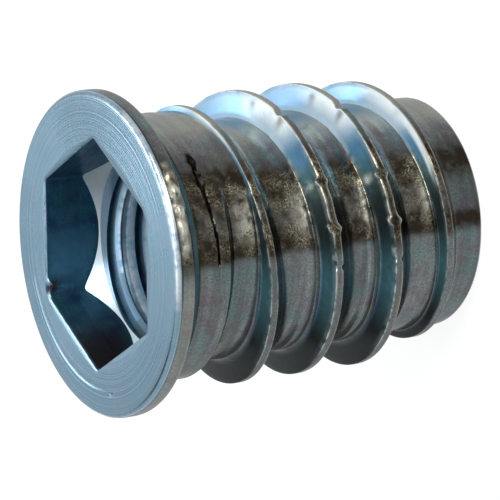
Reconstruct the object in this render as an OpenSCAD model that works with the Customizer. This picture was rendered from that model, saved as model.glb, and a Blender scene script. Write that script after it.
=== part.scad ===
// Screw-in threaded insert for wood: a cast flanged body with a coarse outer thread,
// a hex drive socket, and a machine thread bore right through it.
// It stands on its tail end, the flange face is up, and +Z is the axis of the bore.

/* [Body] */
// Length from the tail end to the flange face
length = 15; // [14:0.5:20]
// Diameter of the plain tail, which is also the root of the outer thread
core_d = 9.32; // [9.1:0.02:9.6]
// Chamfer around the tail end
tail_chamfer = 0.15; // [0.1:0.05:0.3]

/* [Flange] */
// Diameter of the flange
flange_d = 12.8; // [12.4:0.1:16]
// Rounding where the flange face meets the rim
face_edge_r = 0.2; // [0.1:0.05:0.25]
// Depth of the rim's straight band, from the face to the back rounding
rim_h = 0.6; // [0.5:0.05:0.9]
// Rounding at the back of the rim
back_edge_r = 0.3; // [0.2:0.05:0.35]
// Drop of the conical underside from the rim to the collar
underside_drop = 0.25; // [0.15:0.05:0.4]

/* [Collar] */
// Diameter of the plain collar under the flange
collar_d = 10.5; // [10.1:0.1:11]
// Distance from the flange face to the collar's lower edge
collar_end = 2.95; // [2.5:0.05:3.3]
// Axial length of the slope from the collar to the core
collar_slope = 0.5; // [0.3:0.05:0.8]

/* [Outer thread] */
// Diameter over the crests
crest_d = 11.5; // [11.2:0.1:12]
// Rise of the helix in one turn
pitch = 2.75; // [2.6:0.05:3]
// Width of the flat crest
crest_w = 0.32; // [0.2:0.02:0.4]
// Axial width of the steep flank that faces the flange
head_flank_w = 0.2; // [0.15:0.05:0.3]
// Axial width of the gentle flank that faces the tail
tail_flank_w = 0.87; // [0.7:0.01:1]
// Height above the tail end at which the crest starts to rise
thread_start_z = 0.44; // [0.4:0.01:1.2]
// Angle around the axis at which the crest starts to rise
thread_start_deg = 133.5; // [0:0.5:360]
// Turn over which the crest rises to its full height
rise_deg = 360; // [240:10:400]
// Turn before the end of the thread at which the crest starts to sink
sink_deg = 210; // [150:10:300]
// Share of its height that the crest keeps after it has sunk
sunk_share = 0.62; // [0.5:0.02:1]
// Turn before the end over which the groove above the crest fills up to the collar
fill_deg = 170; // [120:10:200]
// Turn over which the crest dies out below the collar
fade_deg = 50; // [40:10:100]
// Gap from the last of the crest to the foot of the collar
thread_end_gap = 0.25; // [0.25:0.01:0.6]

/* [Socket] */
// Size of the hex socket across its flats
hex_af = 8; // [7.8:0.1:8.2]
// Distance from the flange face to the bottom of the socket's conical floor
socket_depth = 2.93; // [2.6:0.01:3.4]
// Angle between the socket's conical floor and the axis
floor_deg = 40; // [36:1:50]

/* [Machine thread] */
// Diameter of the bore over the ridges
bore_d = 7.1; // [7.05:0.05:7.4]
// Diameter at the bottom of the grooves
groove_d = 7.94; // [7.8:0.02:7.96]
// Rise of the machine thread in one turn
bore_pitch = 1.25; // [1.25:0.05:1.4]
// Width of the ridges at their top
ridge_w = 0.66; // [0.6:0.02:0.7]
// Countersink at the tail end, a little deeper than the grooves
bore_chamfer = 0.5; // [0.45:0.05:0.6]

/* [Hidden] */
eps = 0.5;
fn_round = 96;
fn_edge = 6;
step_deg = 6;
bore_step_deg = 12;
core_r = core_d / 2;
collar_r = collar_d / 2;
collar_z = length - collar_end;
flange_r = flange_d / 2;
crest_r = crest_d / 2;
bore_r = bore_d / 2;
groove_r = groove_d / 2;
hex_r = hex_af / sqrt(3);
// The thread's foot is sunk below the core, and its two end sections dive under the surface
sink = 0.2;
foot_r = core_r - sink;
dive_r = foot_r + 0.05;
// The crest starts and dies out just above the core
low_r = core_r + 0.06;
// What fills the groove stays just under the collar and the crest
under = 0.05;
// Turns over which the crest sinks, the groove fills up, and the filling ends
sink_over = 95;
fill_over = 85;
fill_end = 40;
// Axial width of each flank for one millimetre of height
head_slope = head_flank_w / (crest_r - core_r);
tail_slope = tail_flank_w / (crest_r - core_r);
// The crest runs from its start up to the collar
thread_end_z = collar_z - collar_slope - thread_end_gap;
thread_turn = (thread_end_z - thread_start_z) / pitch * 360;
thread_steps = ceil(thread_turn / step_deg);
fill_steps = ceil(fill_deg / step_deg);
// The machine thread's grooves have flanks of 30 degrees and start below the tail end
flank_deg = 30;
groove_start_z = -0.84;
groove_end_z = length - socket_depth + (groove_r - bore_r) / tan(floor_deg) + bore_pitch / 2;
groove_turn = (groove_end_z - groove_start_z) / bore_pitch * 360;
groove_steps = ceil(groove_turn / bore_step_deg);
// The tool that cuts the grooves starts a little inside the bore
tool_r = bore_r - 0.1;

// Smooth rise from 0 to 1 as t goes from 0 to 1
function ease(t) = let (c = min(max(t, 0), 1)) c * c * (3 - 2 * c);

// Points of an arc in the (radius, height) plane, from one angle to another
function arc(centre, r, from_deg, to_deg) = [
  for (i = [0:fn_edge])
    let (a = from_deg + (to_deg - from_deg) * i / fn_edge)
      centre + r * [cos(a), sin(a)]
];

// Points of a section at an angle around the axis, from its corners in the (radius, height) plane
function placed(a, corners) = [for (c = corners) [c[0] * cos(a), c[0] * sin(a), c[1]]];

// Height of the outer thread's helix at a turn, counted from its start
function helix_z(turn) = thread_start_z + pitch * turn / 360;

// Radius of the crest at a turn: it rises evenly, sinks to a share of its height, and dies out
function crest_r_at(turn) = let (
  left = thread_turn - turn,
  rise = min(turn / rise_deg, 1),
  sunk = 1 - (1 - sunk_share) * ease((sink_deg - left) / sink_over)
) low_r + (crest_r - low_r) * rise * sunk * ease(left / fade_deg);

// Radius up to which the groove above the crest is filled at a turn
function fill_r_at(turn) = let (
  left = thread_turn - turn,
  full = (collar_r - under - core_r) * ease((fill_deg - left) / fill_over) * ease(left / fill_end)
) min(core_r + full, crest_r_at(turn) - under);

// One section of the outer thread: upper foot, upper crest edge, lower crest edge, lower foot
function thread_section(turn, r) = let (
  z = helix_z(turn),
  half = crest_w / 2,
  high = r - foot_r
) placed(turn + thread_start_deg, [
  [foot_r, z + half + head_slope * high],
  [r, z + half],
  [r, z - half],
  [foot_r, z - half - tail_slope * high]
]);

// One section of the filled groove, from the collar's edge down to the middle of the crest
function fill_section(turn, r) = let (z = helix_z(turn)) placed(turn + thread_start_deg, [
  [foot_r, collar_z],
  [r, collar_z],
  [r, z],
  [foot_r, z]
]);

// One section of the machine thread's groove, which narrows outwards
function groove_section(turn) = let (
  z = groove_start_z + bore_pitch * turn / 360,
  half = (bore_pitch - ridge_w) / 2,
  half_in = half + (bore_r - tool_r) * tan(flank_deg),
  half_out = half - (groove_r - bore_r) * tan(flank_deg)
) placed(turn, [
  [tool_r, z + half_in],
  [groove_r, z + half_out],
  [groove_r, z - half_out],
  [tool_r, z - half_in]
]);

// A solid along a row of four-cornered sections
module swept(sections) {
  points = [for (s = sections) each s];
  steps = len(sections) - 1;
  last = 4 * steps;
  sides = [
    for (i = [0:steps - 1])
      for (k = [0:3])
        let (a = 4 * i + k, b = 4 * i + (k + 1) % 4)
          each [[a, b + 4, b], [a, a + 4, b + 4]]
  ];
  ends = [[0, 1, 2], [0, 2, 3], [last, last + 2, last + 1], [last, last + 3, last + 2]];
  polyhedron(points = points, faces = concat(sides, ends), convexity = 10);
}

// Body of revolution: tail, core, collar, conical underside and rounded flange
module turned_body() {
  rim_top = length - face_edge_r;
  rim_low = length - rim_h;
  under_r = flange_r - back_edge_r;
  under_z = rim_low - back_edge_r;
  rotate_extrude($fn = fn_round)
    polygon(concat(
      [
        [0, 0],
        [core_r - tail_chamfer, 0],
        [core_r, tail_chamfer],
        [core_r, collar_z - collar_slope],
        [collar_r, collar_z],
        [collar_r, under_z - underside_drop]
      ],
      arc([under_r, rim_low], back_edge_r, -90, 0),
      arc([flange_r - face_edge_r, rim_top], face_edge_r, 0, 90),
      [[0, length]]
    ));
}

// Coarse outer thread, swept along the helix and sunk into the core
module outer_thread() {
  swept([
    for (i = [0:thread_steps])
      let (turn = thread_turn * i / thread_steps, is_end = i == 0 || i == thread_steps)
        thread_section(turn, is_end ? dive_r : crest_r_at(turn))
  ]);
}

// Filling of the groove between the last of the crest and the collar
module thread_runout() {
  swept([
    for (i = [0:fill_steps])
      let (turn = thread_turn - fill_deg * (1 - i / fill_steps), is_end = i == 0 || i == fill_steps)
        fill_section(turn, is_end ? dive_r : fill_r_at(turn))
  ]);
}

// Hex drive socket that ends on a conical floor
module hex_socket() {
  rise = socket_depth + eps;
  translate([0, 0, length - socket_depth])
    intersection() {
      cylinder(h = rise, r = hex_r, $fn = 6);
      cylinder(h = rise, r1 = bore_r, r2 = bore_r + rise * tan(floor_deg), $fn = fn_round);
    }
}

// Bore right through, with a countersink at the tail
module bore() {
  translate([0, 0, -eps])
    cylinder(h = length - socket_depth + 2 * eps, r = bore_r, $fn = fn_round);
  translate([0, 0, -eps])
    cylinder(h = bore_chamfer + eps, r1 = bore_r + bore_chamfer + eps, r2 = bore_r, $fn = fn_round);
}

// Helical groove of the machine thread, cut out of the bore's wall
module machine_groove() {
  swept([
    for (i = [0:groove_steps])
      groove_section(groove_turn * i / groove_steps)
  ]);
}

// The whole insert, cast in one piece
module insert_body() {
  color("lightsteelblue")
    difference() {
      union() {
        turned_body();
        outer_thread();
        thread_runout();
      }
      hex_socket();
      bore();
      machine_groove();
    }
}

insert_body();
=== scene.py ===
# %% [markdown]
# A screw-in threaded insert for wood, cast in zinc alloy and plated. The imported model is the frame: it
# fixes the place and size of the insert, and everything below is dressed around it. It loads first, so
# that the sizes below can start from it.

# %% Load the frame
import math
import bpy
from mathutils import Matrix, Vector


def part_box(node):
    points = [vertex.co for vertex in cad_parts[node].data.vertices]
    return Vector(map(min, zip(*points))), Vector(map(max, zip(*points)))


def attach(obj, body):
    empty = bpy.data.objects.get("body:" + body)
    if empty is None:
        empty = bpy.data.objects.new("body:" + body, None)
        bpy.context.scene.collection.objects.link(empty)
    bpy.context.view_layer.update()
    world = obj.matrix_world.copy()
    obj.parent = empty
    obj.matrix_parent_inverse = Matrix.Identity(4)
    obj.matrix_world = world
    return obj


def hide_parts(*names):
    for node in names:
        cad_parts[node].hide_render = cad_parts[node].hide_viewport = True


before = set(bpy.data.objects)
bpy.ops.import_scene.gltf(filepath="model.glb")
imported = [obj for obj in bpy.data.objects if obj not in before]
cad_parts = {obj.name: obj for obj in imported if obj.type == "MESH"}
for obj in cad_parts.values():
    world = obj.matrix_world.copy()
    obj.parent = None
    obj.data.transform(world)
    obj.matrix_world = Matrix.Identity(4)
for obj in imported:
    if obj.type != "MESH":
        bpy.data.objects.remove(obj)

from types import SimpleNamespace

import bmesh
import bpy
import numpy as np
from mathutils import Matrix, Vector

MM = 0.001
scene = bpy.context.scene
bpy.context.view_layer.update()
body_low, body_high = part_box("insert_body")
length = (body_high.z - body_low.z) / MM
flange_r = (body_high.x - body_low.x) / 2 / MM
print(f"insert: {length:.2f} mm long, flange radius {flange_r:.2f} mm")

# %% [markdown]
# The camera stands where the photograph was taken from: above the flange, well back, with a long lens,
# and rolled so that the standing insert seems to lie on its side. The camera is rolled, and not the
# insert, because the frame keeps the insert on its tail end.

# %% Camera at the photograph's angle
camera_place = Vector((123.89, -35.78, 83.51)) * MM
camera_right = Vector((0.44368, -0.26866, -0.85497))
camera_up = Vector((0.33694, 0.93402, -0.11865))
camera_back = Vector((0.83043, -0.23543, 0.50493))
# Angle around the axis of the side that the camera sees
camera_deg = -16.5
lens_data = bpy.data.cameras.new("photo_lens")
lens_data.lens = 271.4
lens_data.sensor_width = 36
lens_data.clip_start = 0.005
lens_data.clip_end = 10
camera = bpy.data.objects.new("photo_camera", lens_data)
camera_turn = Matrix((camera_right, camera_up, camera_back)).transposed().to_4x4()
camera.matrix_world = Matrix.Translation(camera_place) @ camera_turn
scene.collection.objects.link(camera)
scene.camera = camera
print(f"camera {camera_place.length / MM:.0f} mm from the tail end, lens {lens_data.lens} mm")

# %% [markdown]
# The skin of a casting is one closed surface. Cut from solids, its edges would fall wherever the cuts
# meet. Here it is knitted from rings of points around the axis: up the outside, in over the face, down
# the socket and bore, and out across the tail end. They stand closer on the marked side.

# %% Columns around the axis
fine_step, coarse_step = 0.6, 1.5
fine_from, fine_to = -48, 60
angles = np.concatenate([
    np.arange(fine_from, fine_to, fine_step),
    np.arange(fine_to, fine_from + 360, coarse_step),
])
columns = len(angles)
cosines = np.cos(np.radians(angles))
sines = np.sin(np.radians(angles))
# Angle from the middle of the side that the camera sees
seen = (angles - camera_deg + 180) % 360 - 180
print(f"{columns} columns, {fine_step} to {coarse_step} degrees apart")


# %% Rings and soft ramps
def ring(r, z):
    """One ring of points in millimetres; r and z may change with the column."""
    r = np.broadcast_to(r, columns)
    z = np.broadcast_to(z, columns)
    return np.stack([r * cosines, r * sines, z], axis=1)


def ease(t):
    """Smooth rise from 0 to 1 as t goes from 0 to 1."""
    t = np.clip(t, 0, 1)
    return t * t * (3 - 2 * t)


def hump(x, centre, half_width):
    """Smooth hump of height 1 around a centre."""
    return ease(1 - np.abs(x - centre) / half_width)


def zone(from_deg, to_deg, rise, fall, around=seen):
    """Smooth zone around the axis: it rises after one angle and has fallen off by another."""
    return ease((around - from_deg) / rise) * ease((to_deg - around) / fall)


print(f"a ring has {len(ring(flange_r, length))} points")

# %% [markdown]
# Neighbouring rings are joined by four-sided faces. Along a screw thread a ring doesn't close on itself:
# after one turn it meets the ring one pitch further on, and the shift below says how many rings further
# that is. A row is a ring with a finish and five marks, which the materials read.

# %% The knitted skin
FACE, CAST, FLANK, SOCKET = 0, 1, 2, 3
# The five marks: bright edges with painted highlights, stains with painted shade, roughness, a pale film
# with painted highlight, and tarnish with painted shade, reflection and glow
MARKS = ("edge", "stain_and_shade", "rough", "pale", "tarnish_and_painted_light")
skin_points = []
skin_marks = []
skin_faces = []
skin_finishes = []


def row(points, finish, edge=0, stain_and_shade=0, rough=0, pale=0, tarnish_and_painted_light=0):
    """One ring of points, the finish of the faces that follow it, and its five marks."""
    marks = [np.broadcast_to(mark, columns) for mark in (edge, stain_and_shade, rough, pale, tarnish_and_painted_light)]
    return points, finish, np.stack(marks, axis=1)


def knit(rows, shift=0):
    """Joins a stack of rows into faces and keeps their marks."""
    start = len(skin_points) * columns
    for points, _, marks in rows:
        skin_points.append(points)
        skin_marks.append(marks)
    for i in range(len(rows) - 1):
        for c in range(columns):
            wraps = c == columns - 1
            j = i + shift if wraps else i
            if not 0 <= j < len(rows) - 1:
                continue
            d = 0 if wraps else c + 1
            here = start + i * columns
            there = start + j * columns
            skin_faces.append((here + c, there + d, there + columns + d, here + columns + c))
            skin_finishes.append(rows[i][1])


print(f"skin: four finishes and {len(MARKS)} marks")

# %% [markdown]
# Cast zinc ages unevenly. It is coarse and brown along the line where the halves of the mould met, with
# bands of painted dark-brown reflection there, browner on one side, and lighter above the seam. A painted
# map could say so. As soft zones around the axis, these run from the tail to the collar without a break.

# %% Zones of tarnish and painted reflection
# Tarnish along the mould seam; its humps around 24 and -6 degrees are painted dark-brown reflection. One
# side is browner, and the side above the seam is lighter.
seam_tarnish_and_reflection = 0.45 * zone(-14, 50, 5, 16) + 0.65 * hump(seen, 24, 14) + 0.7 * hump(seen, -6, 8)
side_brown = 0.7 * zone(-160, -52, 40, 30)
lighter_side = 0.40 * zone(44, 160, 14, 30)
coarse_side = zone(-14, 34, 10, 12)
coarse_from_z, coarse_over_z = 1.5, 0.8
plain_rough = 0.5
coarse_brown = 0.35


def coarse_zone(z):
    """How coarse the casting is: most on the side of the mould seam, and none on the plain tail."""
    return coarse_side * ease((z - coarse_from_z) / coarse_over_z)


def cast_brown(z):
    """Brown of a cast surface along the mould seam: tarnish, with painted dark-brown reflection over the
    coarse side.
    """
    return seam_tarnish_and_reflection + coarse_brown * coarse_zone(z)


print(f"tarnish: up to {cast_brown(length).max():.2f} at the seam")

# %% [markdown]
# The coarse outer thread grips the wood. Its crest rises slowly out of the plain tail and dies out below
# the collar. The side towards the flange is steep, and the side towards the tail is gentle. Each section
# is laid along the helix, so the crest is one clean line and not a staircase.

# %% Sizes of the outer thread
core_r = 4.66
crest_r = 5.75
full_height = crest_r - core_r
pitch = 2.75
crest_w = 0.32
head_flank_w = 0.20
tail_flank_w = 0.87
thread_start_z = 0.44
thread_start_deg = 133.5
rise_deg = 360
collar_foot_z = 11.55
tail_top_z = 0.27
thread_end_gap = 0.25
thread_turn = (collar_foot_z - thread_end_gap - thread_start_z) / pitch * 360
# At its end the crest sinks while the groove above it fills up to the collar
sink_from, sink_over, sink_share = 212, 95, 0.45
swell_from, swell_over, swell_share = 107, 50, 0.15
end_over = 50
fill_from, fill_over, fill_height, fill_end = 170, 85, 0.54, 40


def height_share(turned):
    """Share of the full crest height at a turn of the helix, counted from its start."""
    left = thread_turn - turned
    share = 1 - sink_share * ease((sink_from - left) / sink_over)
    share = share + swell_share * ease((swell_from - left) / swell_over)
    return np.clip(turned / rise_deg, 0, 1) * share * ease(left / end_over)


def groove_fill(turned):
    """How far the groove above the crest is filled near the end of the thread."""
    left = thread_turn - turned
    return fill_height * ease((fill_from - left) / fill_over) * ease(left / fill_end)


print(f"outer thread: {thread_turn / 360:.2f} turns, {full_height:.2f} mm high")

# %% [markdown]
# Where the halves of the mould met, metal was squeezed out and left small nubs on the crest, and trimming
# left a notch. They sit in rows along the insert. A bump map would keep the outline smooth, so they are
# pushed into the crest's two edges here. A bevel would cut them off, so corners are rounded by curves.

# %% Casting marks on the crest
nub_degs, nub_half_deg = (-2, 17), 2.2
nub_to_head, nub_to_tail, nub_up = 0.22, 0.10, 0.03
nick_deg, nick_half_deg = -17.5, 1.6
nick_front, nick_back, nick_down = 0.08, 0.06, 0.06
notch_deg, notch_half_deg, notch_depth = 53, 3.4, 0.16
# The crest is ragged between the nubs: depth and number of the waves around it
RAGGED_WAVES = ((0.04, 9), (0.025, 31))
ragged_side = hump(seen, 6, 30)
# How strong the marks are on each turn of the thread
MARK_STRENGTH = {1: 0.2, 2: 1.0, 3: 0.9, 4: 0.35}


def crest_marks(turn_number):
    """How far the crest's front edge goes to the head, its back edge to the tail, and the crest down."""
    strength = MARK_STRENGTH.get(turn_number, 0)
    nubs = sum(hump(seen, deg, nub_half_deg) for deg in nub_degs)
    nick = hump(seen, nick_deg, nick_half_deg)
    notch = hump(seen, notch_deg, notch_half_deg)
    wave = ragged_side * sum(depth * np.sin(np.radians(seen * count)) for depth, count in RAGGED_WAVES)
    front = strength * (nub_to_head * nubs - nick_front * nick + wave)
    back = strength * (nub_to_tail * nubs - nick_back * nick - wave)
    down = strength * (notch_depth * notch + nick_down * nick - nub_up * nubs)
    return front, back, down


print(f"casting marks on {len(MARK_STRENGTH)} turns")

# %% Corners of one thread section
fillet_w = 0.42
land_lift = 0.05
flank_top_share = 0.25
crisp_foot, soft_foot = 0.04, 0.26
# The foot of the steep flank is crisp on its pale side and rounded on the other
round_foot = 1 - zone(-15, 165, 40, 40)


def softened(p, corner, q, count):
    """Points of a curve from p to q that rounds off a corner."""
    for u in np.linspace(0, 1, count):
        yield tuple((1 - u) ** 2 * p[k] + 2 * u * (1 - u) * corner[k] + u * u * q[k] for k in (0, 1))


def between(p, q, share):
    """The point at a share of the way from p to q."""
    return tuple(p[k] + (q[k] - p[k]) * share for k in (0, 1))


def section_corners(turn_number):
    """Corners of one turn, as height above the crest's middle and radius, with its share of full height."""
    turned = angles - thread_start_deg + 360 * turn_number
    h = height_share(turned)
    h_next = height_share(turned + 360)
    front, back, down = crest_marks(turn_number)
    half = crest_w / 2
    root = core_r + groove_fill(turned)
    tip = np.maximum(core_r + (full_height - down) * h, core_r)
    tail_foot_at = -half - tail_flank_w * h
    head_foot_at = half + head_flank_w * np.maximum(tip - root, 0) / full_height
    plain_front = (half, core_r + full_height * h)
    foot_head = (head_foot_at, np.minimum(root, tip))
    return SimpleNamespace(
        h=h, root=root, plain_front=plain_front, foot_head=foot_head,
        tail_fillet=(tail_foot_at - fillet_w * h, core_r),
        foot_tail=(tail_foot_at, core_r),
        edge_back=(-half - back * h, tip),
        edge_front=(half + front * h, tip),
        flank_top=between(plain_front, foot_head, flank_top_share),
        head_fillet=(head_foot_at + (crisp_foot + soft_foot * round_foot) * h, root + land_lift * h),
        next_fillet=(pitch - half - (tail_flank_w + fillet_w) * h_next, root),
    )


print(f"crest up to {section_corners(2).edge_front[1].max():.2f} mm from the axis")

# %% [markdown]
# The steep flanks carry painted light: a painted highlight makes them pale blue on one side, and painted
# shade makes them a dull teal on the other. Crest edges are rubbed bright and, like the nubs, carry painted
# highlights, and casting marks are scuffed. Painted by hand it would be loose, but as numbers along the
# turn it follows the thread.

# %% Painted light and wear along one turn
# Painted teal shade on the steep flank, on the side away from its painted highlight
flank_shade_teal = 1 - zone(12, 165, 24, 40)
# Painted shade on the flank, along the mould seam and low down on the seen side
low_shade = ease((-26 - seen) / 42) * (1 - 0.5 * ease((-95 - seen) / 50))
seam_shade = 0.72 * zone(-26, 30, 22, 24)
even_shade, most_shade = 0.16, 0.95
flank_shade = np.minimum(even_shade + seam_shade + low_shade, most_shade) * (1 - zone(20, 170, 20, 40))
# Lines along the crest's edges, rubbed bright and painted with highlight, and a painted highlight along the
# foot of the flank
edge_wear_and_highlight = 0.6 * ease((seen + 75) / 25) + 0.4 * ease((seen + 6) / 10)
back_edge_wear_and_highlight = edge_wear_and_highlight * ease((46 - seen) / 12)
foot_highlight = 0.6 * hump(seen, 32, 22) + 0.3 * hump(seen, -12, 30)
# Painted shade on the crest's flat top
crest_shade = 0.55 * hump(seen, 8, 34)
# A painted glint at the foot of the steep flank and on the land beside it
foot_glint = hump(seen, 7, 16)
# Painted highlights on the nubs and beside the nick
nub_highlights = sum(hump(seen, deg, 1.4 * nub_half_deg) for deg in (*nub_degs, nick_deg + 3))
grown_share = 0.12
highlight_deg, early_highlight_deg = 32, 6


def flank_highlight(from_deg):
    """Painted highlight that makes the steep flank pale on one side."""
    return zone(from_deg, 150, 16, 40) * (0.25 + 0.75 * ease((80 - seen) / 18))


def section_marks(turn_number, h):
    """What is struck, and where highlight and shade are painted, along one turn whose crest has a share of
    its height.
    """
    struck = MARK_STRENGTH.get(turn_number, 0) * h
    grown = ease(h / grown_share)
    top_deg = early_highlight_deg if turn_number == 1 else highlight_deg
    return SimpleNamespace(
        pit=struck * hump(seen, notch_deg - 4, 3.0),
        scuff=struck * hump(seen, notch_deg + 15, 3.5),
        # A painted highlight spot beside a nub
        spot_highlight=struck * 0.7 * hump(seen, 17.5, 3.4),
        nub_highlight=struck * nub_highlights,
        grown=grown,
        dark=grown * flank_shade,
        pale=grown * flank_highlight(highlight_deg),
        pale_top=grown * flank_highlight(top_deg),
        glint=grown * foot_glint * (turn_number >= 1),
    )


print(f"steep flank: dull up to {flank_shade.max():.2f}")

# %% [markdown]
# A section runs up from the tail: the gentle flank, the narrow crest, the steep flank with its foot, and
# the land up to the next crest. Each row says where it is, how bright it is with wear and painted
# highlight, how dark with stain and painted shade, how pale it is, how coarse it is, and its finish.

# %% Gentle flank and crest
edge_share = 0.13
flank_rough, crest_rough, front_rough = 0.5, 1.1, 0.3


def gentle_rows(s):
    """Rows of the fillet and the gentle flank, up to the crest."""
    points = list(softened(s.tail_fillet, s.foot_tail, between(s.foot_tail, s.edge_back, 0.4), 5))
    points += [between(s.foot_tail, s.edge_back, share) for share in (0.65, 0.9)]
    for point in points:
        yield point, 0, 0, 0, flank_rough, CAST


def crest_rows(s, m):
    """Rows of the crest: its back edge, its flat top with painted shade, and its front edge; both edges
    carry wear and painted highlights.
    """
    back_start = between(s.edge_back, s.foot_tail, 0.03)
    back = softened(back_start, s.edge_back, between(s.edge_back, s.edge_front, edge_share), 3)
    for point, worn_and_lit in zip(back, (0.25, 1.3, 0.3)):
        yield point, worn_and_lit * s.h * back_edge_wear_and_highlight, 0, 0, flank_rough, CAST
    top_dark = np.maximum(0.4 * m.pit, crest_shade * s.h)
    for share in (0.3, 0.7):
        yield between(s.edge_back, s.edge_front, share), 0, top_dark, 0, crest_rough, CAST
    front_start = between(s.edge_front, s.edge_back, edge_share)
    front = softened(front_start, s.edge_front, between(s.edge_front, s.flank_top, 0.2), 3)
    for point, worn_and_lit, highlight_share, kind in zip(front, (0.3, 1.7, 0.3), (0.3, 1, 1.2), (CAST, FLANK, FLANK)):
        bright = np.maximum(worn_and_lit * edge_wear_and_highlight * s.h, highlight_share * m.nub_highlight)
        stain_and_shade = np.maximum(0.8 * m.pit, m.dark * (kind == FLANK))
        yield point, bright, stain_and_shade, m.pale_top, front_rough, kind


print(f"crest edges rounded over {edge_share:.0%} of its width")

# %% Steep flank and land
steep_rough = 0.2
glint_strength, glint_share = 1.2, 0.5
lift_share = 0.3


def steep_rows(s, m):
    """Rows of the steep flank with its painted highlight and shade, and of its foot, which catches a
    painted line of light.
    """
    for share, spot, light in ((0.25, 1, m.pale_top), (0.45, 0.5, 0.85 * m.pale), (0.70, 0, 0.6 * m.pale)):
        stain_and_shade = np.maximum(m.dark * (1 - light), 0.6 * spot * (m.pit + m.scuff))
        point = between(s.plain_front, s.foot_head, share)
        yield point, (1 - spot) * m.spot_highlight, stain_and_shade, light, steep_rough, FLANK
    foot_start = between(s.foot_head, s.flank_top, 0.06 + 0.16 * round_foot)
    for point, lit in zip(softened(foot_start, s.foot_head, s.head_fillet, 3), (1, 0.3, 0)):
        bright = np.maximum(lit * foot_highlight * m.grown, glint_strength * (1 - lit) * m.glint)
        yield point, bright, 0.8 * lit * m.dark, 0.5 * lit * m.pale, 1.2 - lit, CAST


def land_rows(s, m):
    """Rows of the land, which lifts a little beside the foot, is coarsest there and carries a painted glint
    there.
    """
    for share in (0.1, 0.2, 0.3, 0.55, 0.8):
        offset = between(s.head_fillet, s.next_fillet, share)[0]
        lift = land_lift * s.h * max(1 - share / lift_share, 0) ** 2
        bright = glint_strength * m.glint * max(1 - share / glint_share, 0)
        yield (offset, s.root + lift), bright, 0, 0, 1.3 - 1.1 * share, CAST


def thread_section(turn_number):
    """All rows of one turn, from the tail up."""
    s = section_corners(turn_number)
    m = section_marks(turn_number, s.h)
    return [*gentle_rows(s), *crest_rows(s, m), *steep_rows(s, m), *land_rows(s, m)]


rows_per_turn = len(thread_section(0))
print(f"thread section: {rows_per_turn} rows to a turn")

# %% [markdown]
# The turns are stacked, and what reaches past the tail or the collar is laid flat onto the ring where
# those begin. There the marks go back to those of the plain surface, because both stacks share that ring.
# A boolean cut would end the thread too, but it would break the rows.

# %% Rings of the outer thread
TURNS = range(-1, 5)
# Turn of the helix at the seen side's middle, one turn below the collar
first_seen = thread_start_deg - camera_deg - 360 * 3
collar_root = core_r + groove_fill(seen + 360 - first_seen)


def thread_rows():
    """Rows of the threaded zone, from the tail up to the collar."""
    for turn_number in TURNS:
        z_crest = thread_start_z + pitch * ((angles - thread_start_deg) / 360 + turn_number)
        for (offset, r), bright, dark, light, coarse, kind in thread_section(turn_number):
            z = z_crest + offset
            kept = (z > tail_top_z) & (z < collar_foot_z)
            r = np.where(z <= tail_top_z, core_r, np.where(z >= collar_foot_z, collar_root, r))
            # Brown carries the painted seam reflection, and steep flanks take their painted teal shade
            # instead
            brown = cast_brown(z) + side_brown * (z > tail_top_z)
            yield row(
                ring(r, np.clip(z, tail_top_z, collar_foot_z)),
                kind,
                edge=bright * kept,
                stain_and_shade=dark * kept,
                rough=coarse_zone(z) * np.where(kept, coarse, plain_rough),
                pale=np.where(kept, np.maximum(light, lighter_side * (kind == CAST)), lighter_side),
                tarnish_and_painted_light=np.where(kept & (kind == FLANK), flank_shade_teal, brown),
            )


thread = list(thread_rows())
knit(thread, shift=rows_per_turn)
print(f"outer thread: {len(thread)} rings")

# %% [markdown]
# Above the thread, a plain collar centres the insert in its hole. It has a narrow slot where the mould
# left a cold seam, painted black with shade in its deep part, and a painted shadow streak under the rim
# above it. Painted on, the slot would look flat from the side, so it is cut into closely packed rings.

# %% Slot in the collar
slot_z = 12.5
slot_half, slot_depth = 0.15, 0.14
slot_from, slot_to = -12, 42
deep_from = 12
# A painted shadow streak lies under the rim, above the slot
streak_z, streak_half = 13.28, 0.14


def slot_share(z, wider=1.0):
    """How far inside the slot a point is: it has a round end below and tapers off above."""
    middle = slot_z + 0.05 * np.sin(np.radians(seen * 6)) + 0.004 * np.abs(seen)
    ragged = 0.85 + 0.25 * np.sin(np.radians(seen * 47)) * np.sin(np.radians(seen * 19))
    width = slot_half * (0.55 + 0.9 * ease((seen - deep_from) / 14)) * ragged
    return zone(slot_from, slot_to, 2, 8) * hump(z, middle, wider * width)


def slot_shade(z):
    """Painted shade in the slot, blackest in its deep part, and the painted shadow streak above it."""
    deep = 0.45 + 0.55 * ease((seen - deep_from) / 10)
    streak = 0.8 * zone(-2, 18, 4, 6) * hump(z, streak_z, streak_half)
    return np.maximum(np.minimum(5 * slot_share(z, 1.15), 1) * deep, streak)


print(f"slot: {slot_to - slot_from} degrees long, {slot_depth} mm deep")

# %% Collar
collar_r = 5.25
collar_z = 12.05
corner_z = 13.35
# Painted teal shade in the corner under the flange
corner_shade, corner_shade_teal = 0.5, 0.9
under_z = 13.85
fillet_r, fillet_drop = 0.16, 0.12
SLOT_HEIGHTS = np.arange(12.32, 12.80, 0.04)


def arc(centre_r, centre_z, radius, from_deg, to_deg, count):
    """Points along an arc in the plane through the axis."""
    for a in np.radians(np.linspace(from_deg, to_deg, count)):
        yield centre_r + radius * math.cos(a), centre_z + radius * math.sin(a)


def collar_row(r, z, stain_and_shade=0):
    """One row of the collar; the corner under the flange gets painted teal shade all round."""
    rough = plain_rough * coarse_zone(z)
    if z > corner_z:
        return row(ring(r, z), FLANK, 0, stain_and_shade, rough, 0, corner_shade_teal)
    return row(ring(r, z), CAST, 0, stain_and_shade, rough, lighter_side, cast_brown(z) + side_brown)


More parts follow.
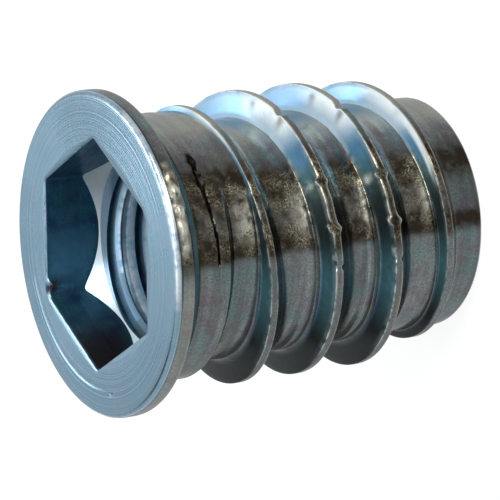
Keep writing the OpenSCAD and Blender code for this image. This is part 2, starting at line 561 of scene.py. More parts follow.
collar = []
for t in np.linspace(0, 1, 8):
    r = collar_root + (collar_r - collar_root) * ease(t)
    collar.append(collar_row(r, collar_foot_z + (collar_z - collar_foot_z) * t))
for z in (12.15, 12.25, *SLOT_HEIGHTS, 12.95, 13.1, 13.2, 13.3, 13.4, 13.55, 13.68):
    stain_and_shade = np.maximum(slot_shade(z), corner_shade * (z > corner_z))
    collar.append(collar_row(collar_r - slot_depth * slot_share(z), z, stain_and_shade))
for r, z in arc(collar_r + fillet_r, under_z - fillet_drop, fillet_r, 180, 108, 4):
    collar.append(collar_row(r, z, corner_shade))
knit(collar)
print(f"collar: {len(collar)} rings")

# %% [markdown]
# The flange stops the insert at the surface of the wood. Its back is a shallow cone, and both its edges
# are round. The mould left a row of beads on the rim, which carry painted highlights, and one side of the
# face's rounded edge carries a painted highlight with a painted dark line beside it. The beads are humps
# in the rings, so they show in profile.

# %% Flange
rim_low_z = length - 0.6
back_edge_r = 0.3
face_edge_r = 0.2
# Angle and height of each bead
BEADS = ((-4, 0.04), (-0.5, 0.07), (3, 0.05), (6, 0.09), (10.5, 0.11), (13, 0.07), (17.5, 0.10), (20, 0.06),
         (24, 0.09), (28, 0.05))
bead_half_deg = 3.4
bead_z, bead_half = length - 0.46, 0.32
# The beads carry a painted highlight where they stand out
bead_highlight, bead_gap, bead_most = 26, 0.55, 1.4
BAND_DEPTHS = (0.52, 0.44, 0.36, 0.28)
# Painted highlight along one side of the face's rounded edge
face_edge_highlight = 0.12 + 0.88 * zone(-28, 80, 14, 35)
rim_brown = 0.8 * seam_tarnish_and_reflection
rim_lighter = 0.2 * ease((-8 - seen) / 10)


def beads(z):
    """How far the beads stand out of the rim at a height."""
    standing = sum(high * hump(seen, deg, bead_half_deg) for deg, high in BEADS)
    return standing * hump(z, bead_z, bead_half)


def rim_row(r, z):
    """One row of the rim's back and band, with its beads."""
    bright = np.clip(bead_highlight * beads(z) - bead_gap, 0, bead_most)
    rough = plain_rough * coarse_zone(z)
    return row(ring(r + beads(z), z), CAST, edge=bright, rough=rough, pale=rim_lighter, tarnish_and_painted_light=rim_brown)


corner_ring = collar[-1][0]
corner_rough = plain_rough * coarse_zone(corner_ring[:, 2])
flange = [row(corner_ring, CAST, stain_and_shade=corner_shade, rough=corner_rough, tarnish_and_painted_light=corner_shade_teal)]
flange += [rim_row(r, z) for r, z in arc(flange_r - back_edge_r, rim_low_z, back_edge_r, -90, 0, 6)]
flange += [rim_row(flange_r, length - depth) for depth in BAND_DEPTHS]
rounding = arc(flange_r - face_edge_r, length - face_edge_r, face_edge_r, 0, 90, 6)
# The rounding carries the painted highlight, with a painted dark line where it meets the rim band
for (r, z), worn_and_lit, dark in zip(rounding, (0, 0.5, 1, 1, 1, 0.4), (0.9, 0.3, 0, 0, 0, 0)):
    flange.append(row(ring(r, z), FACE, edge=worn_and_lit * face_edge_highlight, stain_and_shade=dark * face_edge_highlight,
                      rough=plain_rough * coarse_zone(z), tarnish_and_painted_light=rim_brown))
knit(flange)
print(f"flange: {len(flange)} rings, {len(BEADS)} beads")

# %% [markdown]
# The face was turned on a lathe. It has one step of a deeper cut, whose edge carries a painted highlight
# on one arc, and a small pit. Before the socket the rings change from round to six-sided: two rings that
# mix both outlines do that, where a boolean cut would leave long thin faces. The mouth has a tiny worn
# bevel, with a burr at one corner.

# %% Flange face and mouth of the socket
hex_af = 8.0
hex_corner_r = hex_af / math.sqrt(3)
soft_corner, rounded_corner = 0.035, 0.14
corner_blend = 0.05
step_r, step_depth = 5.30, 0.03
pit_r, pit_deg, pit_depth = 5.42, 252, 0.05
round_r = 5.0
bevel = 0.05
burr = hump(angles, 177.5, 5.5)
pit = hump(angles, pit_deg, 1.7)
stepped = zone(165, 250, 12, 18, angles)
mouth_wear = (0.25 + 0.75 * zone(172, 246, 10, 10, angles)) * (1 - burr)
# Radius of each circle, whether it lies in the step, and how bright the painted highlight on its edge is
CIRCLES = ((6.08, 0, 0), (5.85, 0, 0), (5.62, 0, 0), (5.47, 0, 0), (pit_r, 0, 0), (5.37, 0, 0),
           (step_r + 0.03, 1, 0), (step_r, 1, 1), (step_r - 0.04, 0, 0.2), (5.12, 0, 0))
# Share of the bevel's width and depth, reach of the burr, and brightness of the edge
MOUTH_EDGE = ((1, 0, 0, 0), (0.3, 0.3, 0.14, 1), (0, 1, 0.24, 0.3))


def hexagon():
    """Distance from the axis to the socket's wall, with the corner at 0 degrees the most rounded."""
    sharp = hex_af / 2 / np.cos(np.radians(angles % 60 - 30))
    near_zero = (angles + 180) % 360 - 180
    limit = hex_corner_r - soft_corner - (rounded_corner - soft_corner) * hump(near_zero, 0, 25)
    blend = np.clip(0.5 + (limit - sharp) / (2 * corner_blend), 0, 1)
    return limit + (sharp - limit) * blend - corner_blend * blend * (1 - blend)


wall_r = hexagon()
face = [row(flange[-1][0], FACE, edge=0.4 * face_edge_highlight)]
for r, dip, line in CIRCLES:
    spot = pit * (r == pit_r)
    z = length - step_depth * dip * stepped - pit_depth * spot
    face.append(row(ring(r, z), FACE, edge=line * stepped, stain_and_shade=spot))
for share in (0.35, 0.7):
    face.append(row(ring(round_r + (wall_r + bevel - round_r) * share, length), FACE))
for width, drop, reach, line in MOUTH_EDGE:
    points = ring(wall_r + width * bevel - reach * burr, length - drop * bevel)
    face.append(row(points, FACE, edge=line * mouth_wear, stain_and_shade=burr))
knit(face)
print(f"face: {len(face)} rings, mouth corner radius {wall_r.max():.2f} mm")

# %% [markdown]
# A key drives the insert in its six-sided socket. The flat walls run down onto a conical floor, so each
# wall ends in a curve, low in its middle and high at its corners. A cone could cut it. Here the last ring
# of the walls is placed where wall and cone meet.

# %% Socket walls
socket_depth = 2.93
bore_r = 3.55
bore_top_z = 12.56
floor_slope = math.tan(math.radians(40))
# The wall beside the burr carries a painted blue glow, and the next one is darker towards its far end
glow = 0.8 * hump(angles, 163, 24)
far_wall_dark = 0.9 * ease((angles - 190) / 36) * (angles < 242)
# Share of the wall's depth, reach of the burr, and how much stain, darkening and painted glow there is
WALL_ROWS = ((0.04, 0.30, 1, 1, 0.5), (0.12, 0.22, 0.9, 1, 1), (0.3, 0.22, 0, 1, 1), (0.6, 0, 0, 1, 1),
             (0.9, 0, 0, 0.7, 1), (1.0, 0, 0, 0, 0))


def floor_r(z):
    """Radius of the conical floor at a height."""
    return bore_r + (z - (length - socket_depth)) * floor_slope


wall_top_z = length - bevel
wall_end_z = length - socket_depth + (wall_r - bore_r) / floor_slope
wall_end_z = np.maximum(wall_end_z, bore_top_z + 0.02)
walls = [row(face[-1][0], SOCKET, edge=0.3 * mouth_wear, stain_and_shade=burr)]
for share, reach, stained, darkened, lit in WALL_ROWS:
    points = ring(wall_r - reach * burr, wall_top_z + (wall_end_z - wall_top_z) * share)
    dirt_and_shade = np.maximum(stained * burr, darkened * far_wall_dark)
    walls.append(row(points, SOCKET, stain_and_shade=dirt_and_shade, tarnish_and_painted_light=lit * glow))
knit(walls)
print(f"socket walls end {length - wall_end_z.max():.2f} to {length - wall_end_z.min():.2f} mm deep")

# %% Conical floor
# Painted light makes the cone pale, and the throat is darker where the thread meets the cone
cone_pale, throat_pale = 0.85, 0.3
throat_dark = 0.55
# Painted shade on the cone at its upper corner
cone_shade = 0.15 + 0.43 * hump(angles, 120, 46)


def cone_ring(share):
    """A ring at a share of the way from the end of the walls to the throat of the bore."""
    r = wall_r + (floor_r(bore_top_z) - wall_r) * share
    return ring(r, wall_end_z + (bore_top_z - wall_end_z) * share)


cone = [row(walls[-1][0], FLANK)]
cone += [row(cone_ring(share), FLANK, stain_and_shade=cone_shade, pale=cone_pale) for share in (0.03, 0.35, 0.7, 0.97)]
cone.append(row(cone_ring(1.0), FLANK, stain_and_shade=throat_dark, pale=throat_pale))
knit(cone)
print(f"conical floor: {len(cone)} rings")

# %% [markdown]
# The cone leads into the machine thread for the bolt, which goes right through. It is far finer than the
# outer thread and is made the same way, as rings along its own helix. A modifier could sweep it, but it
# would not end cleanly on the cone and the countersink.

# %% Machine thread in the bore
bore_pitch = 1.25
groove_r = 3.97
ridge_w = 0.66
ridge_deg, ridge_z = 160, 11.59
split_w, split_depth = 0.27, 0.10
bore_flank_w = (groove_r - bore_r) * math.tan(math.radians(30))
countersink = 0.5
ridge_pale, ridge_teal = 0.14, 0.2
BORE_TURNS = range(-12, 3)
half_r = (bore_r + groove_r) / 2
ridge_half = ridge_w / 2
groove_at = bore_pitch - ridge_half
# Height above the ridge's middle, radius, how bright its edge is with wear and painted highlight, and
# finish
RIDGE = (
    (-ridge_half, bore_r, 0.3, FLANK),
    (ridge_half - split_w, bore_r, 0.8, FLANK),
    (ridge_half - split_w / 2, bore_r + split_depth, 0, SOCKET),
    (ridge_half - 0.03, bore_r, 0.5, FLANK),
    (ridge_half, bore_r + 0.01, 0.8, FLANK),
    (ridge_half + bore_flank_w / 2, half_r, 0, FLANK),
    (ridge_half + bore_flank_w, groove_r, 0, SOCKET),
    (groove_at - bore_flank_w, groove_r, 0, SOCKET),
    (groove_at - bore_flank_w / 2, half_r, 0, SOCKET),
)


def bore_rows():
    """Rows of the machine thread, from the tail up to the socket."""
    for turn_number in BORE_TURNS:
        z_ridge = ridge_z + bore_pitch * ((angles - ridge_deg) / 360 + turn_number)
        for offset, r, worn_and_lit, kind in RIDGE:
            z = z_ridge + offset
            whole = floor_r(z + 0.1) < r
            r_cut = np.maximum(np.maximum(r, floor_r(z)), bore_r + countersink - z)
            r_cut = np.where(z >= bore_top_z, floor_r(bore_top_z), r_cut)
            r_cut = np.where(z <= 0, bore_r + countersink, r_cut)
            yield row(
                ring(r_cut, np.clip(z, 0, bore_top_z)),
                kind,
                edge=worn_and_lit * whole,
                stain_and_shade=throat_dark * ~whole,
                pale=np.where(whole, ridge_pale * (kind == FLANK), throat_pale),
                tarnish_and_painted_light=ridge_teal * whole * (kind == FLANK),
            )


# The skin goes down the bore, so the rows are turned round
bore = list(bore_rows())[::-1]
knit(bore, shift=-len(RIDGE))
print(f"machine thread: {len(bore)} rings, {len(RIDGE)} to a turn")

# %% [markdown]
# The tail end goes into the wood first. It is flat, with a countersink inside and a rounded edge outside.
# A filled disc would need its own edge to meet the bore, so a few rings close the skin here.

# %% Tail end
tail_edge = 0.15
tail_points = [(r, 0) for r in (bore_r + countersink, 4.2, 4.35)]
tail_points += arc(core_r - tail_edge, tail_edge, tail_edge, -90, 0, 5)
tail_points += [(core_r, z) for z in (0.18, tail_top_z)]
tail = [row(ring(r, z), CAST, pale=lighter_side, tarnish_and_painted_light=seam_tarnish_and_reflection) for r, z in tail_points]
knit(tail)
print(f"tail end: {len(tail)} rings")

# %% [markdown]
# All rows now become one mesh. Rings that two stacks share are merged, and the slivers left where the
# thread was laid flat are dissolved. Steep edges stay crisp while the rest is shaded smooth. A count of
# open edges shows whether the skin is closed.

# %% Close the skin into one piece
merge_dist, sliver_dist = 0.0015 * MM, 0.0005 * MM
sharp_deg = 38
mesh = bpy.data.meshes.new("insert_skin")
mesh.from_pydata((np.concatenate(skin_points) * MM).tolist(), [], skin_faces)
mesh.polygons.foreach_set("material_index", np.array(skin_finishes, np.int32))
marks = np.concatenate(skin_marks)
for place, name in enumerate(MARKS):
    layer = mesh.attributes.new(name, "FLOAT", "POINT")
    layer.data.foreach_set("value", marks[:, place].astype(np.float32))
shell = bmesh.new()
shell.from_mesh(mesh)
bmesh.ops.remove_doubles(shell, verts=shell.verts, dist=merge_dist)
bmesh.ops.dissolve_degenerate(shell, edges=shell.edges, dist=sliver_dist)
loose = [v for v in shell.verts if not v.link_faces]
bmesh.ops.delete(shell, geom=loose, context="VERTS")
for e in shell.edges:
    e.smooth = e.is_manifold and e.calc_face_angle() < math.radians(sharp_deg)
for f in shell.faces:
    f.smooth = True
open_edges = sum(not e.is_manifold for e in shell.edges)
volume = shell.calc_volume(signed=True) / MM ** 3
shell.to_mesh(mesh)
shell.free()
triangles = sum(len(p.vertices) - 2 for p in mesh.polygons)
print(f"insert_skin: {triangles} triangles, {open_edges} open edges, {volume:.1f} cubic mm")

# %% Place the piece in the frame
insert = bpy.data.objects.new("insert_skin", mesh)
scene.collection.objects.link(insert)
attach(insert, "root")
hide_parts("insert_body")
print(f"{insert.name} stands for the insert's body")

# %% [markdown]
# Four finishes share the same few effects, so each effect is a node group that is built once, with
# strengths as inputs. A group gives out only what varies, such as a colour or a mask, and the shader
# stays in the material.

# %% Helpers for node groups
FLOAT, COLOUR = "NodeSocketFloat", "NodeSocketColor"


def new_group(name, inputs, outputs, kind=FLOAT):
    """A node group with default inputs and outputs of one kind, and the sockets to link inside it."""
    group = bpy.data.node_groups.new(name, "ShaderNodeTree")
    for title, value in inputs.items():
        socket_kind = COLOUR if isinstance(value, tuple) else FLOAT
        socket = group.interface.new_socket(title, in_out="INPUT", socket_type=socket_kind)
        socket.default_value = value
    for title in outputs:
        group.interface.new_socket(title, in_out="OUTPUT", socket_type=kind)
    return group, group.nodes.new("NodeGroupInput").outputs, group.nodes.new("NodeGroupOutput").inputs


def set_inputs(node, values):
    """Sets named inputs of a node to plain values."""
    for title, value in values.items():
        node.inputs[title].default_value = value


def mark(tree, name):
    """One of the marks that the skin's points keep."""
    node = tree.nodes.new("ShaderNodeAttribute")
    node.attribute_name = name
    return node.outputs["Fac"]


def noise(tree, scale, detail=2.0, stretch=None):
    """A noise texture in the object's own metres, stretched along the axes if asked."""
    where = tree.nodes.new("ShaderNodeTexCoord")
    texture = tree.nodes.new("ShaderNodeTexNoise")
    set_inputs(texture, {"Scale": scale, "Detail": detail})
    source = where.outputs["Object"]
    if stretch:
        mapping = tree.nodes.new("ShaderNodeMapping")
        set_inputs(mapping, {"Scale": stretch})
        tree.links.new(source, mapping.inputs["Vector"])
        source = mapping.outputs["Vector"]
    tree.links.new(source, texture.inputs["Vector"])
    return texture.outputs["Fac"]


def spread(tree, value, low, high, to_low=0.0, to_high=1.0):
    """Maps a value from one span to another and keeps it there."""
    node = tree.nodes.new("ShaderNodeMapRange")
    set_inputs(node, {"From Min": low, "From Max": high, "To Min": to_low, "To Max": to_high})
    tree.links.new(value, node.inputs["Value"])
    return node.outputs["Result"]


def fill_sockets(tree, sockets, values):
    """Sets each socket to a plain value, or links it."""
    for socket, value in zip(sockets, values):
        if isinstance(value, (int, float, tuple)):
            socket.default_value = value
        else:
            tree.links.new(value, socket)


def compute(tree, operation, a, b=0.0):
    """One step of arithmetic on two sockets, or a socket and a number."""
    node = tree.nodes.new("ShaderNodeMath")
    node.operation = operation
    fill_sockets(tree, node.inputs, (a, b))
    return node.outputs["Value"]


def times(tree, a, b):
    """The product of two values."""
    return compute(tree, "MULTIPLY", a, b)


def blend_colours(tree, share, a, b):
    """Mixes two colours; each may be a socket or a plain colour."""
    node = tree.nodes.new("ShaderNodeMix")
    node.data_type = "RGBA"
    fill_sockets(tree, (node.inputs[0], node.inputs[6], node.inputs[7]), (share, a, b))
    return node.outputs[2]


print("node helpers ready")

# %% [markdown]
# A thin clear film over zinc drifts between blue, teal and violet in soft clouds. It could be worked out
# from the film's thickness, but two layers of noise that mix three colours look the same at this size and
# can be set by eye.

# %% Plating tint
def plating_tint():
    """Soft drifting colour of the film over the zinc."""
    group, given, result = new_group(
        "plating_tint",
        {"Metal": (0.5, 0.5, 0.5, 1), "Film": (0.3, 0.5, 0.6, 1), "Violet": (0.4, 0.35, 0.5, 1),
         "Amount": 0.5},
        ("Color",),
        COLOUR,
    )
    cloud = spread(group, noise(group, 700, 4), 0.40, 0.62)
    other = spread(group, noise(group, 1500, 3), 0.48, 0.66)
    colour = blend_colours(group, times(group, cloud, given["Amount"]), given["Metal"], given["Film"])
    colour = blend_colours(group, times(group, other, given["Amount"]), colour, given["Violet"])
    group.links.new(colour, result["Color"])
    return group


tint_group = plating_tint()
print(f"plating_tint: {len(tint_group.nodes)} nodes")

# %% [markdown]
# Cast zinc isn't smooth: it has a fine grain with dark speckles, streaks where the metal ran around the
# mould, and bright flecks where it is coarse, which are painted glints. Modelled grain would need millions
# of faces, so it is a height for a bump and a few masks.

# %% Cast grain
def cast_grain():
    """Grain, streaks along the turn, speckles, and flecks of painted glint on a cast surface."""
    group, given, result = new_group(
        "cast_grain",
        {"Grain": 0.5, "Coarse": 3.0, "Streak": 0.5},
        ("Height", "Tone", "Speckle", "Glint_Fleck"),
    )
    rough = mark(group, "rough")
    fine = noise(group, 15000, 3)
    grain = noise(group, 5200, 3)
    coarse = noise(group, 1900, 2)
    streak = noise(group, 900, 3, stretch=(0.22, 0.22, 4.0))
    relief = compute(group, "ADD", times(group, grain, 0.5), times(group, coarse, 0.5))
    depth = compute(group, "ADD", given["Grain"], times(group, rough, given["Coarse"]))
    streaked = times(group, streak, given["Streak"])
    cluster = times(group, spread(group, coarse, 0.37, 0.61), rough)
    glint_fleck = times(group, spread(group, fine, 0.40, 0.72, 0, 0.95), cluster)
    group.links.new(compute(group, "ADD", times(group, relief, depth), streaked), result["Height"])
    group.links.new(spread(group, streak, 0.36, 0.64), result["Tone"])
    group.links.new(spread(group, fine, 0.30, 0.70), result["Speckle"])
    group.links.new(glint_fleck, result["Glint_Fleck"])
    return group


grain_group = cast_grain()
print(f"cast_grain: {len(grain_group.nodes)} nodes")

# %% [markdown]
# Edges are rubbed bright by other parts in the bag, hollows hold dirt, and the film is tarnished in
# patches. The same marks carry painted light: painted highlights and glints, painted shade, a pale painted
# sheen on the flanks, and a painted teal shade and blue glow with the tarnish. The skin's marks say where.
# Their smooth borders would look sprayed on, so noise breaks most of them up.

# %% Rubbed edges, stains and painted light
def wear_and_painted_light():
    """Rubbed edges and painted highlights, dirt and painted shade, a pale film and painted sheen, and
    tarnish with painted light.
    """
    group, given, result = new_group("wear_and_painted_light", {"Wear": 0.5}, ("Bright", "Dark", "Pale", "Brown"))
    broken = spread(group, noise(group, 2600, 2), 0.32, 0.58)
    cloudy = spread(group, noise(group, 1600, 3), 0.3, 0.6, 0.88, 1.0)
    patchy = spread(group, noise(group, 3200, 4), 0.3, 0.6, 0.72, 1.08)
    edge = times(group, mark(group, "edge"), broken)
    group.links.new(times(group, edge, given["Wear"]), result["Bright"])
    group.links.new(mark(group, "stain_and_shade"), result["Dark"])
    group.links.new(times(group, mark(group, "pale"), cloudy), result["Pale"])
    group.links.new(times(group, mark(group, "tarnish_and_painted_light"), patchy), result["Brown"])
    return group


edge_group = wear_and_painted_light()
print(f"wear_and_painted_light: {len(edge_group.nodes)} nodes")

# %% [markdown]
# Each finish is a metal shader in a material of its own, and one recipe makes all four: it darkens the
# tint with streaks and speckles, and lays over it tarnish with painted shade, reflection and glow, flecks
# of painted glint, a pale painted highlight, dirt with painted shade, and bright edges with painted
# highlights.
# The face is pale blue with turning circles, the cast thread a darker grey with brown tarnish, the steep
# flanks a blue that turns teal with painted shade, and the socket deep blue. One material with masks could
# hold them all, but each would be harder to change.

# %% Recipe for a finish
circle_scale, circle_share = 13000, 0.16
smoother, rougher = 0.04, 0.06
bump_distance = 0.02 * MM


def place_group(tree, group, **values):
    """Puts a node group into a material, sets its inputs and gives its outputs."""
    node = tree.nodes.new("ShaderNodeGroup")
    node.node_tree = group
    set_inputs(node, values)
    return node.outputs


def turning_circles(tree):
    """Fine circles around the axis, as a lathe tool leaves them."""
    where = tree.nodes.new("ShaderNodeTexCoord")
    parts = tree.nodes.new("ShaderNodeSeparateXYZ")
    tree.links.new(where.outputs["Object"], parts.inputs["Vector"])
    across, along = (times(tree, parts.outputs[axis], parts.outputs[axis]) for axis in "XY")
    radius = compute(tree, "SQRT", compute(tree, "ADD", across, along))
    lines = tree.nodes.new("ShaderNodeTexNoise")
    lines.noise_dimensions = "1D"
    set_inputs(lines, {"Scale": circle_scale, "Detail": 3})
    tree.links.new(radius, lines.inputs["W"])
    return lines.outputs["Fac"]


def metal(name, colours, tint, grain, edge_brightness, shade, speckle, roughness, bump,
          coarse=0.0, streak=0.0, turned=0.0, metallic=1.0, specular=0.5, pale=0.0):
    """A plated metal finish, from its colours and the strengths of its effects."""
    material = bpy.data.materials.new(name)
    material.use_nodes = True
    tree = material.node_tree
    shader = tree.nodes["Principled BSDF"]
    film = place_group(tree, tint_group, Metal=colours["metal"], Film=colours["film"],
                       Violet=colours["violet"], Amount=tint)
    cast = place_group(tree, grain_group, Grain=grain, Coarse=coarse, Streak=streak)
    worn_and_lit = place_group(tree, edge_group, Wear=edge_brightness)
    height = cast["Height"]
    # Besides wear, dirt and tarnish, these layers paint glints, highlights, shade and a glow
    layers = [(spread(tree, cast["Tone"], 0, 1, 0, shade), "dark")]
    layers.append((spread(tree, cast["Speckle"], 0, 1, 0, speckle), "dark"))
    if turned:
        circles = turning_circles(tree)
        layers.append((spread(tree, circles, 0.35, 0.65, 0, circle_share), "worn_and_highlight"))
        height = compute(tree, "ADD", height, times(tree, circles, turned))
    if "tarnish_and_painted_light" in colours:
        layers.append((worn_and_lit["Brown"], "tarnish_and_painted_light"))
    layers += [(cast["Glint_Fleck"], "glint_fleck"), (worn_and_lit["Pale"], "worn_and_highlight"), (worn_and_lit["Dark"], "dirt_and_shade")]
    layers.append((worn_and_lit["Bright"], "worn_and_highlight"))
    colour = film["Color"]
    for share, paint in layers:
        colour = blend_colours(tree, share, colour, colours[paint])
    tree.links.new(colour, shader.inputs["Base Color"])
    set_inputs(shader, {"Metallic": metallic, "Specular IOR Level": specular})
    # Where a highlight is painted pale, the metal turns partly diffuse
    if pale:
        less_metallic = spread(tree, worn_and_lit["Pale"], 0, 1, metallic, metallic - pale)
        tree.links.new(less_metallic, shader.inputs["Metallic"])
    rough = spread(tree, cast["Tone"], 0, 1, roughness - smoother, roughness + rougher)
    tree.links.new(rough, shader.inputs["Roughness"])
    relief = tree.nodes.new("ShaderNodeBump")
    set_inputs(relief, {"Strength": bump, "Distance": bump_distance})
    tree.links.new(height, relief.inputs["Height"])
    tree.links.new(relief.outputs["Normal"], shader.inputs["Normal"])
    return material


print(f"recipe: bumps {bump_distance / MM:.2f} mm high")

# %% The four finishes
# Each finish's worn colour also paints highlights, and its dirt colour also paints shade. The flank's teal
# and the socket's blue tarnish colours paint shade and a glow.
worn_and_highlight_zinc = (0.86, 0.92, 0.95, 1)
finishes = (
    metal("zinc_turned_face",
          {"metal": (0.25, 0.44, 0.57, 1), "film": (0.19, 0.43, 0.55, 1), "violet": (0.34, 0.43, 0.60, 1),
           "dark": (0.20, 0.30, 0.38, 1), "glint_fleck": (0.52, 0.66, 0.76, 1), "dirt_and_shade": (0.02, 0.025, 0.06, 1),
           "worn_and_highlight": worn_and_highlight_zinc},
          tint=0.5, grain=0.2, edge_brightness=0.9, shade=0.1, speckle=0.6, roughness=0.24, bump=0.35, turned=1.0),
    metal("zinc_cast_thread",
          {"metal": (0.46, 0.49, 0.48, 1), "film": (0.27, 0.45, 0.46, 1), "violet": (0.36, 0.29, 0.38, 1),
           "dark": (0.13, 0.125, 0.12, 1), "glint_fleck": (0.74, 0.66, 0.47, 1), "dirt_and_shade": (0.012, 0.010, 0.008, 1),
           "worn_and_highlight": (0.84, 0.80, 0.68, 1), "tarnish_and_painted_light": (0.050, 0.037, 0.027, 1)},
          tint=0.8, grain=0.8, edge_brightness=0.9, shade=0.45, speckle=0.7, roughness=0.20, bump=0.5,
          coarse=2.6, streak=0.5),
    metal("zinc_flank",
          {"metal": (0.20, 0.46, 0.76, 1), "film": (0.13, 0.43, 0.66, 1), "violet": (0.24, 0.38, 0.72, 1),
           "dark": (0.08, 0.26, 0.42, 1), "glint_fleck": (0.40, 0.52, 0.56, 1), "dirt_and_shade": (0.020, 0.018, 0.016, 1),
           "worn_and_highlight": (0.88, 0.97, 1.0, 1), "tarnish_and_painted_light": (0.085, 0.22, 0.24, 1)},
          tint=0.5, grain=0.4, edge_brightness=1.0, shade=0.15, speckle=0.3, roughness=0.26, bump=0.4,
          coarse=0.4, metallic=0.6, specular=0.1, pale=0.5),
    metal("zinc_socket",
          {"metal": (0.05, 0.19, 0.29, 1), "film": (0.02, 0.13, 0.17, 1), "violet": (0.025, 0.05, 0.18, 1),
           "dark": (0.012, 0.03, 0.045, 1), "glint_fleck": (0.20, 0.30, 0.36, 1), "dirt_and_shade": (0.030, 0.014, 0.01, 1),
           "worn_and_highlight": worn_and_highlight_zinc, "tarnish_and_painted_light": (0.09, 0.27, 0.41, 1)},
          tint=0.8, grain=0.5, edge_brightness=0.4, shade=0.3, speckle=0.5, roughness=0.30, bump=0.4,
          streak=0.2, metallic=0.7),
)
for finish in finishes:
    insert.data.materials.append(finish)
print("finishes:", ", ".join(m.name for m in finishes))

# %% [markdown]
# The insert stands on a white floor. Diffuse paint alone would look grey in this light, so the floor
# glows white to the camera and in reflections. It keeps a share of diffuse paint, so that the soft shadow
# still shows.

# %% Floor
floor_size = 3.0
FLOOR_GREY = (0.20, 0.20, 0.20, 1)
white_level = 0.88


def bare_material(name):
    """A material without a shader, its tree, and the socket that the shader goes into."""
    material = bpy.data.materials.new(name)
    material.use_nodes = True
    tree = material.node_tree
    tree.nodes.remove(tree.nodes["Principled BSDF"])
    return material, tree, tree.nodes["Material Output"].inputs["Surface"]


def white_paint():
    """White to the camera and in reflections, over diffuse paint that takes a shadow."""
    material, tree, surface = bare_material("white_floor")
    matt = tree.nodes.new("ShaderNodeBsdfDiffuse")
    set_inputs(matt, {"Color": FLOOR_GREY})
    white = tree.nodes.new("ShaderNodeEmission")
    rays = tree.nodes.new("ShaderNodeLightPath")
    shows = compute(tree, "MAXIMUM", rays.outputs["Is Camera Ray"], rays.outputs["Is Glossy Ray"])
    shows = compute(tree, "MAXIMUM", shows, rays.outputs["Is Transmission Ray"])
    tree.links.new(times(tree, shows, white_level), white.inputs["Strength"])
    both = tree.nodes.new("ShaderNodeAddShader")
    tree.links.new(matt.outputs["BSDF"], both.inputs[0])
    tree.links.new(white.outputs["Emission"], both.inputs[1])
    tree.links.new(both.outputs["Shader"], surface)
    return material


def flat_mesh(name, width, height):
    """A flat rectangle around its own middle."""
    flat = bpy.data.meshes.new(name)
    w, h = width / 2, height / 2
    flat.from_pydata([(-w, -h, 0), (w, -h, 0), (w, h, 0), (-w, h, 0)], [], [(0, 1, 2, 3)])
    return flat


floor_mesh = flat_mesh("floor", floor_size, floor_size)
floor_mesh.materials.append(white_paint())
ground = bpy.data.objects.new("floor", floor_mesh)
scene.collection.objects.link(ground)
print(f"floor: {floor_size} m square")

# %% [markdown]
# Light for polished metal is mostly what the metal sees. A cool softbox stands behind and to one side,
# where the upper flanks of the thread reflect it, a larger one in front, one overhead, and a warm strip
# low in front. A single lamp would leave one highlight and no form. A pale world fills the rest.

# %% Softboxes and world
target = Vector((0, 0, length / 2)) * MM


def aim(thing, azimuth, elevation, distance):
    """Places a lamp or a card around the insert and turns it towards the insert."""
    a, e = math.radians(azimuth), math.radians(elevation)
    toward = Vector((math.cos(a) * math.cos(e), math.sin(a) * math.cos(e), math.sin(e)))
    thing.location = target + toward * distance
    thing.rotation_mode = "QUATERNION"
    thing.rotation_quaternion = toward.to_track_quat("Z", "Y")


def softbox(name, azimuth, elevation, distance, width, height, level, colour):
    """An area lamp aimed at the insert; level is its brightness as the metal sees it."""
    lamp = bpy.data.lights.new(name, "AREA")
    lamp.shape = "RECTANGLE"
    lamp.size = width
    lamp.size_y = height
    lamp.energy = level * math.pi * width * height
    lamp.color = colour
    box = bpy.data.objects.new(name, lamp)
    aim(box, azimuth, elevation, distance)
    box.visible_camera = False
    scene.collection.objects.link(box)


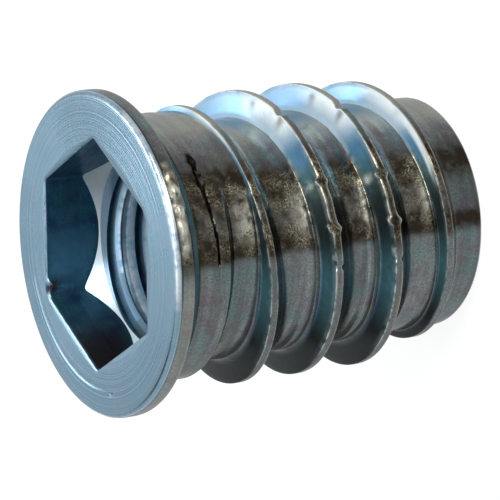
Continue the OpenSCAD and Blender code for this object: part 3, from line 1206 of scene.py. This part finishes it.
softbox("flank_softbox", 150, 45, 0.30, 0.09, 0.10, 3.2, (0.88, 0.95, 1.0))
softbox("front_softbox", 26, 48, 0.30, 0.18, 0.13, 7.0, (0.98, 0.99, 1.0))
softbox("overhead_softbox", 150, 84, 0.30, 0.14, 0.14, 1.5, (0.92, 0.97, 1.0))
softbox("low_strip", 14, 6, 0.25, 0.11, 0.035, 6.0, (1.0, 0.90, 0.68))
world = bpy.data.worlds.new("studio")
world.use_nodes = True
scene.world = world
sky = world.node_tree.nodes["Background"]
set_inputs(sky, {"Color": (0.93, 0.97, 1.0, 1), "Strength": 0.62})
print(f"{len(bpy.data.lights)} lamps in the scene")

# %% [markdown]
# A dark flag behind the insert and a grey mat around its foot give the metal its darker bands. Painted
# into the finish, the bands wouldn't move with the view. Only reflections see the cards.

# %% Cards that only the metal sees
mat_from_r, mat_to_r = 4.7 * MM, 80 * MM
mat_lift = 0.02 * MM


def reflected_only(name, flat, colour):
    """Links a card of one even colour that only reflections see."""
    material, tree, surface = bare_material(name)
    even = tree.nodes.new("ShaderNodeEmission")
    set_inputs(even, {"Color": colour})
    tree.links.new(even.outputs["Emission"], surface)
    flat.materials.append(material)
    panel = bpy.data.objects.new(name, flat)
    scene.collection.objects.link(panel)
    for sees in ("visible_camera", "visible_diffuse", "visible_shadow", "visible_transmission"):
        setattr(panel, sees, False)
    return panel


def ring_mesh(name, from_r, to_r, lift):
    """A flat ring around the axis, just above the floor."""
    flat = bpy.data.meshes.new(name)
    turns = np.radians(np.linspace(0, 360, 91))
    count = len(turns)
    points = [(r * math.cos(a), r * math.sin(a), lift) for r in (from_r, to_r) for a in turns]
    flat.from_pydata(points, [], [(i, i + count, i + count + 1, i + 1) for i in range(count - 1)])
    return flat


flag = reflected_only("rear_flag", flat_mesh("rear_flag", 0.13, 0.13), (0.03, 0.06, 0.075, 1))
aim(flag, 186, 46, 0.32)
bench_mat = ring_mesh("bench_mat", mat_from_r, mat_to_r, mat_lift)
reflected_only("bench_mat", bench_mat, (0.48, 0.50, 0.50, 1))
scene.view_settings.view_transform = "Standard"
print(f"mat: {mat_to_r / MM:.0f} mm in radius")
